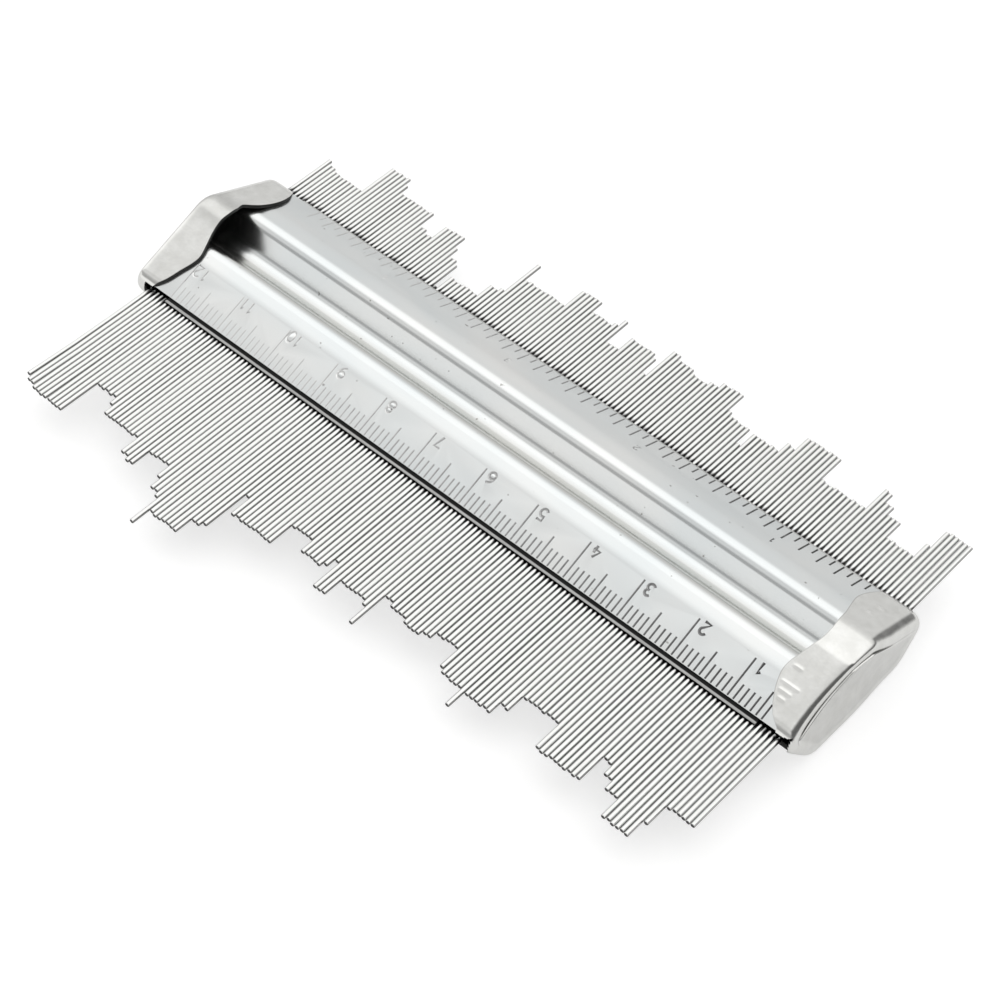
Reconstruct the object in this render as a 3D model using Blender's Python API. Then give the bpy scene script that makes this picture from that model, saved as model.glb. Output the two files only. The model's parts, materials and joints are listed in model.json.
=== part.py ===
"""Contour gauge: a comb of loose steel wires held between two pressed steel shells.

X runs along the body, Y along the wires and Z up. The origin lies on the surface that
the gauge rests on, below the middle of its overall box. The two end caps touch that
surface. All sizes are in metres.
"""

import math

import bmesh
import bpy
from mathutils import Matrix, Vector

MILLIMETRE = 0.001

# Wires
WIRE_DIAMETER = 0.00078
WIRE_PLAY = 0.000028
WIRE_LENGTH = 0.0655
WIRE_FACET_DEGREES = 30

# The profile that the comb holds, from the left end to the right end. Each entry is one
# run: its number of wires, and how far they are pushed off the middle, in millimetres.
RUNS = (
    (1, -7.2), (2, -8.1), (8, -8.8), (5, -1.6), (1, -3.0), (9, -4.9), (2, -8.2), (2, -9.0),
    (5, -5.5), (1, -8.1), (2, -10.1), (1, -10.8), (1, -16.6), (7, -13.4), (2, -10.3),
    (1, -9.6), (1, -1.6), (10, -5.5), (5, -1.1), (5, -3.6), (1, -3.1), (1, -1.4), (3, -7.0),
    (6, -3.7), (1, -4.6), (1, -8.1), (2, -1.3), (4, -2.1), (4, -3.0), (2, -2.2), (5, -1.1),
    (1, -4.9), (5, -5.8), (1, -9.4), (6, -6.1), (2, -4.1), (8, -1.0), (10, -6.2), (2, -1.2),
    (2, -3.2), (3, -5.0), (6, -8.5), (1, -5.4), (6, -1.4),
)
LARGEST_GROUP = 6

# Liners, the flat strips that press on the wires
LINER_SHEET = 0.00025
LINER_LENGTH = 0.116
LINER_OVERHANG = 0.0005
LINER_CORNER_RADIUS = 0.0008
LINER_CLEARANCE = 0.00004

# Shells
SHELL_SHEET = 0.0004
SHELL_WIDTH = 0.0297
SHELL_END_MARGIN = 0.0013
FLANGE_ANGLE = math.radians(21.8)
LOWER_FLANGE_ANGLE = math.radians(46.5)
LOWER_LAND_DEPTH = 0.00575
GROOVE_ANGLE = math.radians(54)
GROOVE_FLOOR_WIDTH = 0.00362
SHOULDER_RADIUS = 0.0016
LOWER_SHOULDER_RADIUS = 0.0012
GROOVE_FLOOR_RADIUS = 0.0005

# End caps. A reach is measured from the cap's outer face to the edge of its wings.
CAP_SHEET = 0.0006
CAP_CLEARANCE = 0.00005
CAP_END_GAP = 0.0003
CAP_ROLL_RADIUS = 0.0013
CAP_RIDGE_RADIUS = 0.003
CAP_TIP_RADIUS = 0.0007
CAP_TIP_REACH = 0.0035
CAP_TIP_FULLNESS = 1.6
RIGHT_CAP_RIDGE_REACH = 0.0072
RIGHT_CAP_LOBE_REACH = 0.0084
RIGHT_CAP_LOBE_SPAN = 0.020
LEFT_CAP_RIDGE_REACH = 0.0058
LEFT_CAP_LOBE_REACH = 0.0071
LEFT_CAP_LOBE_SPAN = 0.016

# Fineness of the curves, and the least radius that a bend keeps
BEND_STEPS = 6
WING_EDGE_STEPS = 12
SHARP_ANGLE = math.radians(25)
LEAST_RADIUS = 0.0001

# What follows from the sizes above. Heights are counted from the plane of the wires.
WIRE_RADIUS = WIRE_DIAMETER / 2
WIRE_PITCH = WIRE_DIAMETER + WIRE_PLAY
ROW_WIDTH = WIRE_PITCH * sum(count for count, push in RUNS)
LINER_SEAT = WIRE_RADIUS + LINER_CLEARANCE
LINER_WIDTH = SHELL_WIDTH + 2 * LINER_OVERHANG
SHELL_SEAT = LINER_SEAT + LINER_SHEET + LINER_CLEARANCE
SHELL_LENGTH = ROW_WIDTH + 2 * SHELL_END_MARGIN
UPPER_EDGE = SHELL_SEAT + SHELL_SHEET * math.cos(FLANGE_ANGLE)
LOWER_EDGE = SHELL_SEAT + SHELL_SHEET * math.cos(LOWER_FLANGE_ANGLE)
GROOVE_FLOOR = SHELL_SEAT + SHELL_SHEET
CAP_OFFSET = CAP_CLEARANCE + CAP_SHEET
CAP_OUTER_FACE = SHELL_LENGTH / 2 + CAP_END_GAP + CAP_ROLL_RADIUS
WIRE_PLANE = LOWER_LAND_DEPTH + CAP_OFFSET
PUSHES = [push * MILLIMETRE for count, push in RUNS]
PROFILE_MIDDLE = (min(PUSHES) + max(PUSHES)) / 2


def clear_scene():
    """Start from an empty scene."""
    for item in list(bpy.data.objects):
        bpy.data.objects.remove(item, do_unlink=True)


def metal(name, colour, roughness):
    """A bare metal finish."""
    finish = bpy.data.materials.new(name)
    finish.use_nodes = True
    shader = finish.node_tree.nodes["Principled BSDF"]
    shader.inputs["Base Color"].default_value = (*colour, 1.0)
    shader.inputs["Roughness"].default_value = roughness
    shader.inputs["Metallic"].default_value = 1.0
    finish.diffuse_color = (*colour, 1.0)
    return finish


def add_gauge():
    """The empty that carries every piece, in the plane of the wires and mid-body."""
    gauge = bpy.data.objects.new("gauge", None)
    gauge.location = (0.0, -PROFILE_MIDDLE, WIRE_PLANE)
    bpy.context.scene.collection.objects.link(gauge)
    return gauge


def add_piece(name, solid, gauge, finish=None, location=(0.0, 0.0, 0.0)):
    """Turn a bmesh into a named piece of the gauge, shaded smooth round its bends."""
    bmesh.ops.recalc_face_normals(solid, faces=solid.faces)
    mesh = bpy.data.meshes.new(name)
    solid.to_mesh(mesh)
    solid.free()
    mesh.shade_smooth()
    mesh.set_sharp_from_angle(angle=SHARP_ANGLE)
    if finish:
        mesh.materials.append(finish)
    item = bpy.data.objects.new(name, mesh)
    item.parent = gauge
    item.location = location
    bpy.context.scene.collection.objects.link(item)
    return item


def ways_at(corners, closed):
    """The unit directions into and out of each corner of a path."""
    count = len(corners)
    ways = [(corners[(i + 1) % count] - corners[i]).normalized() for i in range(count)]
    if closed:
        return [(ways[i - 1], ways[i]) for i in range(count)]
    return [(ways[max(i - 1, 0)], ways[min(i, count - 2)]) for i in range(count)]


def left_of(way):
    """The direction to the left of another."""
    return Vector((-way.y, way.x))


def shifted(corners, radii, distance, closed=False):
    """A path moved to its left, with each bend kept round the same centre."""
    moved = []
    bends = []
    for corner, radius, (way_in, way_out) in zip(corners, radii, ways_at(corners, closed)):
        normal_in, normal_out = left_of(way_in), left_of(way_out)
        mitre = (normal_in + normal_out) / (1 + normal_in.dot(normal_out))
        moved.append(corner + mitre * distance)
        tightening = math.copysign(distance, distance * way_in.cross(way_out))
        bends.append(max(radius - tightening, LEAST_RADIUS) if radius else 0.0)
    return moved, bends


def rounded(corners, radii, closed=False):
    """The points of a path, with an arc at each corner that has a radius."""
    points = []
    for corner, radius, (way_in, way_out) in zip(corners, radii, ways_at(corners, closed)):
        if not radius:
            points.append(corner)
            continue
        angle = math.atan2(way_in.cross(way_out), way_in.dot(way_out))
        start = corner - way_in * radius * math.tan(abs(angle) / 2)
        centre = start + left_of(way_in) * math.copysign(radius, angle)
        for step in range(BEND_STEPS + 1):
            turn = Matrix.Rotation(angle * step / BEND_STEPS, 2)
            points.append(centre + turn @ (start - centre))
    return points


def extruded(outline, pull):
    """A closed outline of 3-D points pulled into a solid."""
    solid = bmesh.new()
    face = solid.faces.new([solid.verts.new(point) for point in outline])
    new_parts = bmesh.ops.extrude_face_region(solid, geom=[face])["geom"]
    far_end = [part for part in new_parts if isinstance(part, bmesh.types.BMVert)]
    bmesh.ops.translate(solid, vec=pull, verts=far_end)
    return solid


def bar_along_x(section, length):
    """A bar with a (y, z) section, centred on the body."""
    outline = [(-length / 2, y, z) for y, z in section]
    return extruded(outline, (length, 0.0, 0.0))


def lofted(rings):
    """A solid skinned through rings that have the same number of points."""
    solid = bmesh.new()
    loops = [[solid.verts.new(point) for point in ring] for ring in rings]
    count = len(loops[0])
    for near, far in zip(loops, loops[1:]):
        for i in range(count):
            following = (i + 1) % count
            solid.faces.new((near[i], near[following], far[following], far[i]))
    solid.faces.new(loops[0])
    solid.faces.new(loops[-1])
    return solid


def mirrored(half):
    """Corners or radii of the +Y half of a section, and before them their mirror image."""
    if isinstance(half[0], Vector):
        return [Vector((-point.x, point.y)) for point in reversed(half)] + list(half)
    return list(reversed(half)) + list(half)


def shell_path(flange_angle, edge, shoulder_radius, crest=None):
    """The outer surface of a shell as corners and radii, seen as if it lay on top.

    A flange rises from each long edge to a shoulder, and a groove with a flat floor lies
    between the shoulders. With a crest height the shoulders are cut off as a flat land.
    """
    edge_corner = Vector((SHELL_WIDTH / 2, edge))
    floor_corner = Vector((GROOVE_FLOOR_WIDTH / 2, GROOVE_FLOOR))
    flange_slope, wall_slope = math.tan(flange_angle), math.tan(GROOVE_ANGLE)
    if crest is None:
        run = SHELL_WIDTH / 2 - GROOVE_FLOOR_WIDTH / 2
        rise = edge - GROOVE_FLOOR + flange_slope * run
        from_floor = rise / (wall_slope + flange_slope)
        peak = floor_corner + from_floor * Vector((1, wall_slope))
        half = [floor_corner, peak, edge_corner]
        radii = [GROOVE_FLOOR_RADIUS, shoulder_radius, 0.0]
    else:
        inner = floor_corner + (crest - GROOVE_FLOOR) / wall_slope * Vector((1, wall_slope))
        outer = edge_corner + (crest - edge) / flange_slope * Vector((-1, flange_slope))
        half = [floor_corner, inner, outer, edge_corner]
        radii = [GROOVE_FLOOR_RADIUS, shoulder_radius, shoulder_radius, 0.0]
    return mirrored(half), mirrored(radii)


def shell_section(path):
    """Give the outer surface of a shell its sheet thickness."""
    corners, radii = path
    inner_corners, inner_radii = shifted(corners, radii, -SHELL_SHEET)
    outer_side = rounded(corners, radii)
    inner_side = rounded(inner_corners, inner_radii)
    return outer_side + inner_side[::-1]


def build_shells(gauge, finish):
    """The upper shell with its sharp shoulders, and the lower one with its flat lands."""
    upper = shell_section(shell_path(FLANGE_ANGLE, UPPER_EDGE, SHOULDER_RADIUS))
    add_piece("upper_shell", bar_along_x(upper, SHELL_LENGTH), gauge, finish)

    lower_path = shell_path(LOWER_FLANGE_ANGLE, LOWER_EDGE, LOWER_SHOULDER_RADIUS, LOWER_LAND_DEPTH)
    lower = [(y, -z) for y, z in shell_section(lower_path)]
    add_piece("lower_shell", bar_along_x(lower, SHELL_LENGTH), gauge, finish)


def build_liners(gauge, finish):
    """The two flat strips between the wires and the shells."""
    half_length, half_width = LINER_LENGTH / 2, LINER_WIDTH / 2
    corners = [
        Vector((half_length, -half_width)),
        Vector((half_length, half_width)),
        Vector((-half_length, half_width)),
        Vector((-half_length, -half_width)),
    ]
    plan = rounded(corners, [LINER_CORNER_RADIUS] * 4, closed=True)
    for name, side in (("upper_liner", 1), ("lower_liner", -1)):
        outline = [(x, y, side * LINER_SEAT) for x, y in plan]
        strip = extruded(outline, (0.0, 0.0, side * LINER_SHEET))
        add_piece(name, strip, gauge, finish)


def cap_envelope():
    """The outline round both shells, which the end caps follow."""
    half_width = SHELL_WIDTH / 2
    apex = UPPER_EDGE + half_width * math.tan(FLANGE_ANGLE)
    land = half_width - (LOWER_LAND_DEPTH - LOWER_EDGE) / math.tan(LOWER_FLANGE_ANGLE)
    corners = [
        Vector((land, -LOWER_LAND_DEPTH)),
        Vector((half_width, -LOWER_EDGE)),
        Vector((half_width, UPPER_EDGE)),
        Vector((0.0, apex)),
        Vector((-half_width, UPPER_EDGE)),
        Vector((-half_width, -LOWER_EDGE)),
        Vector((-land, -LOWER_LAND_DEPTH)),
    ]
    tip = CAP_TIP_RADIUS
    radii = [LOWER_SHOULDER_RADIUS, tip, tip, CAP_RIDGE_RADIUS, tip, tip, LOWER_SHOULDER_RADIUS]
    return corners, radii


def cap_cup(side, reach):
    """A cup round the ends of the shells, with a rolled edge at its end face."""
    corners, radii = cap_envelope()

    def ring(x, inset):
        moved, bends = shifted(corners, radii, inset - CAP_OFFSET, closed=True)
        return [(side * x, y, z) for y, z in rounded(moved, bends, closed=True)]

    roll_start = CAP_OUTER_FACE - CAP_ROLL_RADIUS
    inner_radius = CAP_ROLL_RADIUS - CAP_SHEET
    turns = [math.pi / 2 * step / BEND_STEPS for step in range(BEND_STEPS + 1)]
    rim = CAP_OUTER_FACE - reach
    inner_roll = [
        ring(roll_start + inner_radius * math.sin(turn), CAP_ROLL_RADIUS - inner_radius * math.cos(turn))
        for turn in reversed(turns)
    ]
    outer_roll = [
        ring(roll_start + CAP_ROLL_RADIUS * math.sin(turn), CAP_ROLL_RADIUS * (1 - math.cos(turn)))
        for turn in turns
    ]
    return lofted(inner_roll + [ring(rim, CAP_SHEET), ring(rim, 0.0)] + outer_roll)


def wing_edge(ridge_reach, lobe_reach, lobe_span):
    """The edge of a cap's wings in plan: back at the ridge, out at the lobes, in at the tips."""
    lobe = lobe_span / 2
    tip = SHELL_WIDTH / 2 + CAP_OFFSET
    inner_ys = [lobe * step / WING_EDGE_STEPS for step in range(WING_EDGE_STEPS)]
    outer_ys = [lobe + (tip - lobe) * step / WING_EDGE_STEPS for step in range(WING_EDGE_STEPS + 1)]
    half = []
    for y in inner_ys:
        swell = 0.5 - 0.5 * math.cos(math.pi * y / lobe)
        half.append((y, ridge_reach + (lobe_reach - ridge_reach) * swell))
    for y in outer_ys:
        fall = ((y - lobe) / (tip - lobe)) ** CAP_TIP_FULLNESS
        half.append((y, lobe_reach - (lobe_reach - CAP_TIP_REACH) * fall))
    return [(-y, reach) for y, reach in reversed(half[1:])] + half


def cut(item, cutter):
    """Take a cutter's shape out of an object."""
    cutter.hide_render = True
    cutter.display_type = "WIRE"
    boolean = item.modifiers.new(cutter.name, "BOOLEAN")
    boolean.object = cutter
    boolean.operation = "DIFFERENCE"
    boolean.solver = "EXACT"


def build_cap(name, side, reaches, gauge, finish):
    """One end cap: an upper and a lower wing that clasp the shells, joined by an end face."""
    ridge_reach, lobe_reach, lobe_span = reaches
    untrimmed = max(ridge_reach, lobe_reach) + CAP_SHEET
    cap = add_piece(name, cap_cup(side, untrimmed), gauge, finish)

    beyond = SHELL_WIDTH
    reach_at = wing_edge(ridge_reach, lobe_reach, lobe_span)
    edge = [(side * (CAP_OUTER_FACE - reach), y) for y, reach in reach_at]
    (first_x, first_y), (last_x, last_y) = edge[0], edge[-1]
    outline = edge + [(last_x, beyond), (0.0, beyond), (0.0, -beyond), (first_x, -beyond)]
    trim = extruded([(x, y, -beyond) for x, y in outline], (0.0, 0.0, 2 * beyond))
    cut(cap, add_piece(name + "_trim", trim, gauge))

    slot_end = side * (CAP_OUTER_FACE - CAP_ROLL_RADIUS)
    top, bottom = UPPER_EDGE + CAP_CLEARANCE, -LOWER_EDGE - CAP_CLEARANCE
    corners = [(-beyond, bottom), (beyond, bottom), (beyond, top), (-beyond, top)]
    slot = extruded([(0.0, y, z) for y, z in corners], (slot_end, 0.0, 0.0))
    cut(cap, add_piece(name + "_slot", slot, gauge))


def wire_row_section(count):
    """The scalloped outline of wires lying side by side, and touching in one group."""
    middle = (count - 1) / 2
    step = WIRE_FACET_DEGREES
    top = []
    for i in range(count):
        first = 180 if i == 0 else 180 - step
        last = 0 if i == count - 1 else step
        for degrees in range(first, last - 1, -step):
            angle = math.radians(degrees)
            x = (i - middle) * WIRE_PITCH + WIRE_RADIUS * math.cos(angle)
            top.append((x, WIRE_RADIUS * math.sin(angle)))
    bottom = [(x, -z) for x, z in reversed(top[1:-1])]
    return top + bottom


def groups_of_wires():
    """Split the runs into groups: how many wires, and how far they are pushed."""
    for (count, _), push in zip(RUNS, PUSHES):
        parts = math.ceil(count / LARGEST_GROUP)
        for part in range(parts):
            yield count * (part + 1) // parts - count * part // parts, push


def build_wires(gauge, finish):
    """Each group of wires as one sliding piece, its origin midway along it."""
    x = -ROW_WIDTH / 2
    for number, (count, push) in enumerate(groups_of_wires(), start=1):
        width = count * WIRE_PITCH
        outline = [(px, -WIRE_LENGTH / 2, pz) for px, pz in wire_row_section(count)]
        group = extruded(outline, (0.0, WIRE_LENGTH, 0.0))
        add_piece(f"wires_{number:02d}", group, gauge, finish, (x + width / 2, push, 0.0))
        x += width


def main():
    clear_scene()
    gauge = add_gauge()
    shell_steel = metal("shell_steel", (0.78, 0.79, 0.80), 0.32)
    cap_steel = metal("cap_steel", (0.74, 0.73, 0.71), 0.38)
    wire_steel = metal("wire_steel", (0.80, 0.81, 0.83), 0.22)
    liner_steel = metal("liner_steel", (0.55, 0.56, 0.57), 0.4)
    build_shells(gauge, shell_steel)
    build_liners(gauge, liner_steel)
    right_reaches = (RIGHT_CAP_RIDGE_REACH, RIGHT_CAP_LOBE_REACH, RIGHT_CAP_LOBE_SPAN)
    left_reaches = (LEFT_CAP_RIDGE_REACH, LEFT_CAP_LOBE_REACH, LEFT_CAP_LOBE_SPAN)
    build_cap("cap_right", 1, right_reaches, gauge, cap_steel)
    build_cap("cap_left", -1, left_reaches, gauge, cap_steel)
    build_wires(gauge, wire_steel)


main()
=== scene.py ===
# %% [markdown]
# # A contour gauge
# A contour gauge copies a profile. Its wires slide through a body of two pressed steel
# shells, and friction keeps them where a moulding has pushed them. The solids of the
# gauge come first and stay fixed: they say where every piece is and which of them move.
# This lesson puts the fine surface over them: drawn wires, bent sheet, stamped scales
# and scuffed end caps.

# %% The solids of the gauge
import json
import math

import bmesh
import bpy
from mathutils import Matrix, Quaternion, Vector

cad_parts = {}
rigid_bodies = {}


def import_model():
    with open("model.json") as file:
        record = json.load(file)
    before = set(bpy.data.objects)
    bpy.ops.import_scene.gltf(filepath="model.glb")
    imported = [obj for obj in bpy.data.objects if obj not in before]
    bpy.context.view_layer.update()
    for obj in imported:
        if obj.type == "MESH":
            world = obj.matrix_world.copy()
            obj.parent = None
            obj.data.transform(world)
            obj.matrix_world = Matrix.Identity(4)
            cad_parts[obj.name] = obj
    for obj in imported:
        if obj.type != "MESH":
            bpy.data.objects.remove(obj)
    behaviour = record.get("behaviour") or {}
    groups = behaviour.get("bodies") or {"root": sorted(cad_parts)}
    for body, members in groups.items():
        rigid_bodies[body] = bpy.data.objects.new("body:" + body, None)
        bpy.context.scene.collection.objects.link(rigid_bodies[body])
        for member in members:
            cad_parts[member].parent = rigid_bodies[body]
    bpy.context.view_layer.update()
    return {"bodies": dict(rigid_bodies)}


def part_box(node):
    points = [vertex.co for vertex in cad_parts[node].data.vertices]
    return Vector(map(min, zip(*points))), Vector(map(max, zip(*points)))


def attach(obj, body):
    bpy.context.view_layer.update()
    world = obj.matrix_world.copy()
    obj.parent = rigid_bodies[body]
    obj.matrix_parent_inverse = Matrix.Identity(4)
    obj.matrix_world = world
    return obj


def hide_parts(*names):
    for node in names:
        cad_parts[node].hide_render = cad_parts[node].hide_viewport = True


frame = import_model()

# %% [markdown]
# ## Sizes
# Everything is measured from the middle of the body, in the plane of the wires: X runs
# along the body, Y along the wires and Z up. The boxes of the solids give the places.
# Angles and bends, which a box can't tell, are given as the press tool would have them.

# %% Sizes read from the solids
MM = 0.001
shell_low, shell_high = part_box("upper_shell")
base_low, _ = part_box("lower_shell")
liner_low, liner_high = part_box("upper_liner")
_, under_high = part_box("lower_liner")
_, cap_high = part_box("cap_right")

BODY_Y = (shell_low.y + shell_high.y) / 2
WIRE_Z = (liner_low.z + under_high.z) / 2
GAUGE_PLACE = Matrix.Translation((0, BODY_Y, WIRE_Z))

SHELL_HALF_WIDTH = shell_high.y - BODY_Y
SHELL_HALF_LENGTH = shell_high.x
SHELL_SEAT = shell_low.z - WIRE_Z
LAND_DEPTH = WIRE_Z - base_low.z
LINER_HALF_WIDTH = liner_high.y - BODY_Y
LINER_HALF_LENGTH = liner_high.x
LINER_SEAT = liner_low.z - WIRE_Z
LINER_SHEET = liner_high.z - liner_low.z
LINER_PROUD = 0.35 * MM
CAP_FACE = cap_high.x
print("body middle", round(BODY_Y / MM, 2), "wire plane", round(WIRE_Z / MM, 2))

# %% Sizes of the press tool
SHELL_SHEET = 0.4 * MM
FLANGE_ANGLE = math.radians(23.0)
INNER_FLANGE_ANGLE = math.radians(17.0)
KNEE_PLACE = 7.9 * MM
KNEE_RADIUS = 14.0 * MM
LOWER_FLANGE_ANGLE = math.radians(46.5)
GROOVE_ANGLE = math.radians(51)
GROOVE_FLOOR_HALF = 1.25 * MM
GROOVE_SHIFT = -0.35 * MM
SHOULDER_RADIUS = 2.4 * MM
LOWER_SHOULDER_RADIUS = 1.2 * MM
GROOVE_FLOOR_RADIUS = 2.1 * MM
SHEET_EDGE_RADIUS = 0.05 * MM
UPPER_EDGE = SHELL_SEAT + SHELL_SHEET * math.cos(FLANGE_ANGLE)
LOWER_EDGE = SHELL_SEAT + SHELL_SHEET * math.cos(LOWER_FLANGE_ANGLE)
GROOVE_FLOOR = SHELL_SEAT + SHELL_SHEET

# %% [markdown]
# ## The camera
# The photograph was taken with a long lens, from above the near right corner. The scale
# on the body gave the lens and the place: its marks are a millimetre apart, so a camera
# that puts every mark where the photograph has it stands where the real one stood.

# %% The camera
CAMERA_PLACE = Vector((157.22, -195.06, 304.20)) * MM
CAMERA_AIM = Vector((7.60, -2.98, 10.0)) * MM
CAMERA_ROLL = math.radians(4.36)
LENS_MM = 94.69

camera = bpy.data.objects.new("camera", bpy.data.cameras.new("camera"))
bpy.context.scene.collection.objects.link(camera)
bpy.context.scene.camera = camera
camera.data.lens = LENS_MM
camera.data.sensor_width = 36
camera.data.clip_start = 0.01
camera.location = CAMERA_PLACE
camera.rotation_mode = "QUATERNION"
look = (CAMERA_AIM - CAMERA_PLACE).to_track_quat("-Z", "Y")
camera.rotation_quaternion = look @ Quaternion((0, 0, 1), CAMERA_ROLL)
print("camera to gauge:", round((CAMERA_AIM - CAMERA_PLACE).length / MM), "mm")

# %% [markdown]
# ## Formulas for node trees
# A pattern is easier to read as a formula than as a web of boxes. The class below wraps
# a socket, so that adding two of them adds a Math node. It serves materials and
# Geometry Nodes alike, because both trees use the same Math node.

# %% A socket that can be used in a formula
class Term:
    """One output of a node, to be used in sums and comparisons."""

    def __init__(self, sketch, socket):
        self.sketch = sketch
        self.socket = socket

    def math(self, operation, *others):
        values = dict(enumerate((self, *others)))
        return self.sketch.node("ShaderNodeMath", {"operation": operation}, values)

    def __add__(self, other):
        return self.math("ADD", other)

    def __sub__(self, other):
        return self.math("SUBTRACT", other)

    def __mul__(self, other):
        return self.math("MULTIPLY", other)

    def __truediv__(self, other):
        return self.math("DIVIDE", other)

    def __mod__(self, other):
        return self.math("FLOORED_MODULO", other)

    def __lt__(self, other):
        return self.math("LESS_THAN", other)

    def __gt__(self, other):
        return self.math("GREATER_THAN", other)

    def __rsub__(self, other):
        return (self * -1) + other

    __radd__ = __add__
    __rmul__ = __mul__

    def clamped(self):
        return self.math("MAXIMUM", 0).math("MINIMUM", 1)

    def absolute(self):
        return self.math("ABSOLUTE")

    def rises(self, low, high):
        """0 below low, 1 above high, and a soft step between them."""
        values = {"Value": self, "From Min": low, "From Max": high}
        settings = {"interpolation_type": "SMOOTHSTEP"}
        return self.sketch.node("ShaderNodeMapRange", settings, values)


# %% A node tree as a sketch
class Sketch:
    """A node tree with one way to add any node."""

    def __init__(self, tree):
        self.tree = tree

    def feed(self, socket, value):
        if isinstance(value, Term):
            self.tree.links.new(value.socket, socket)
        elif isinstance(value, bpy.types.NodeSocket):
            self.tree.links.new(value, socket)
        else:
            socket.default_value = value

    def node(self, kind, settings=None, values=None, output=0):
        made = self.tree.nodes.new(kind)
        for name, setting in (settings or {}).items():
            setattr(made, name, setting)
        for name, value in (values or {}).items():
            self.feed(made.inputs[name], value)
        return Term(self, made.outputs[output])

    def vector(self, **parts):
        return self.node("ShaderNodeCombineXYZ", {}, parts)

    def part_of(self, vector, axis):
        return self.node("ShaderNodeSeparateXYZ", {}, {0: vector}, output=axis)

    def mix_colour(self, mask, first, second):
        values = {"Factor": mask, 6: first, 7: second}
        return self.node("ShaderNodeMix", {"data_type": "RGBA"}, values, output=2)


# %% [markdown]
# ## Steel finishes
# Everything here is steel, so the finishes differ only in how the surface was worked.
# The shells are rolled sheet: bright, with faint streaks along the body, and with painted
# shade in the near bend of the groove. The caps are a warmer, duller sheet with mottling
# from the press, and painted shade along the ledge, over the face, at the wing edges and on
# the left cap's ridge. The wires are drawn, so their streaks run along them. Their flanks are
# painted dark as shade between neighbours, more on some wires than on others, and they are
# painted dark as shadow where the body holds them.

# %% A base for every steel
def colour(red, green, blue):
    return (red, green, blue, 1.0)


def grey(tone):
    return colour(tone, tone, tone)


class Steel(Sketch):
    """A bare metal with a Principled shader."""

    def __init__(self, name):
        self.material = bpy.data.materials.new(name)
        self.material.use_nodes = True
        super().__init__(self.material.node_tree)
        self.shader = self.tree.nodes["Principled BSDF"]
        self.shader.inputs["Metallic"].default_value = 1.0

    def place(self, scale):
        """Object coordinates in millimetres, stretched by a scale on each axis."""
        coordinates = self.node("ShaderNodeTexCoord", output=3)
        stretch = tuple(value / MM for value in scale)
        return self.node("ShaderNodeMapping", {}, {"Vector": coordinates, "Scale": stretch})

    def along(self, axis):
        """The place along one axis, in millimetres."""
        return self.part_of(self.place((1, 1, 1)), axis)

    def noise(self, scale, detail=2.0, roughness=0.5):
        values = {
            "Vector": self.place(scale), "Scale": 1.0, "Detail": detail, "Roughness": roughness,
        }
        return self.node("ShaderNodeTexNoise", {}, values)

    def bump(self, height, strength, distance):
        values = {"Strength": strength, "Distance": distance, "Height": height}
        self.feed(self.shader.inputs["Normal"], self.node("ShaderNodeBump", {}, values))

    def finished(self, base, roughness):
        self.feed(self.shader.inputs["Base Color"], base)
        self.feed(self.shader.inputs["Roughness"], roughness)
        return self.material


# %% Rolled sheet for the shells
BEND_SHADE_FROM = (-5.3, -4.4)
BEND_SHADE_TO = (-1.6, 0.2)


def rolled_sheet():
    """Bright, with painted shade along the near bend of the groove, between two soft edges."""
    steel = Steel("rolled_sheet")
    streaks = steel.noise((0.10, 2.2, 2.2), detail=2)
    clouds = steel.noise((0.045, 0.10, 0.10), detail=2)
    grain = steel.noise((3.0, 5.0, 5.0), detail=2)
    specks = steel.noise((1.3, 1.3, 1.3), detail=0).rises(0.83, 0.88)
    shade = (clouds - 0.35) * 2.6 + (streaks - 0.5) * 0.12
    across = steel.along(1) - BODY_Y / MM
    # Painted shade: the near bend of the groove is darkened, as if it lay in shade.
    bend_shade = across.rises(*BEND_SHADE_FROM) * (1 - across.rises(*BEND_SHADE_TO))
    shade = shade.clamped()
    sheen = steel.mix_colour(shade, colour(0.755, 0.785, 0.79), colour(0.83, 0.832, 0.82))
    sheen = steel.mix_colour(bend_shade, sheen, colour(0.62, 0.615, 0.59))
    steel.bump(streaks * 0.3 + grain * 0.7, 0.04, 0.05 * MM)
    sheen = steel.mix_colour(specks * 0.6, sheen, colour(0.25, 0.24, 0.22))
    return steel.finished(sheen, 0.17 + grain * 0.06)


def sheet_inside():
    """The inside and the cut edges of the sheet, near black as painted shade."""
    steel = Steel("sheet_inside")
    scale = steel.noise((0.7, 0.7, 0.7), detail=3)
    # Painted shade: near black, so undersides, cut edges and cap rims read as lying in shadow.
    painted_dark = steel.mix_colour(scale, grey(0.02), colour(0.10, 0.098, 0.095))
    return steel.finished(painted_dark, 0.42 + scale * 0.2)


# %% Pressed sheet for the caps
def cap_sheet():
    """Mottled. Each point of a cap says how much painted shade darkens it there."""
    steel = Steel("cap_sheet")
    mottle = steel.noise((0.50, 0.50, 0.50), detail=4, roughness=0.6)
    pits = steel.noise((2.6, 2.6, 2.6), detail=3)
    painted_shade = steel.node("ShaderNodeAttribute", {"attribute_name": "press_grime"}, output=2)
    shade = ((mottle - 0.35) * 3.0).clamped()
    sheet = steel.mix_colour(shade, colour(0.75, 0.748, 0.725), colour(0.83, 0.83, 0.81))
    steel.bump(mottle * 0.4 + pits * 0.6, 0.10, 0.10 * MM)
    # Painted shade: darkens the sheet as much as each point of the cap asks.
    sheet = steel.mix_colour(painted_shade, sheet, colour(0.05, 0.048, 0.045))
    return steel.finished(sheet, 0.13 + mottle * 0.10)


# %% Drawn wire
WIRE_RADIUS = 0.39 * MM
HELD_TO = 15.5


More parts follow.
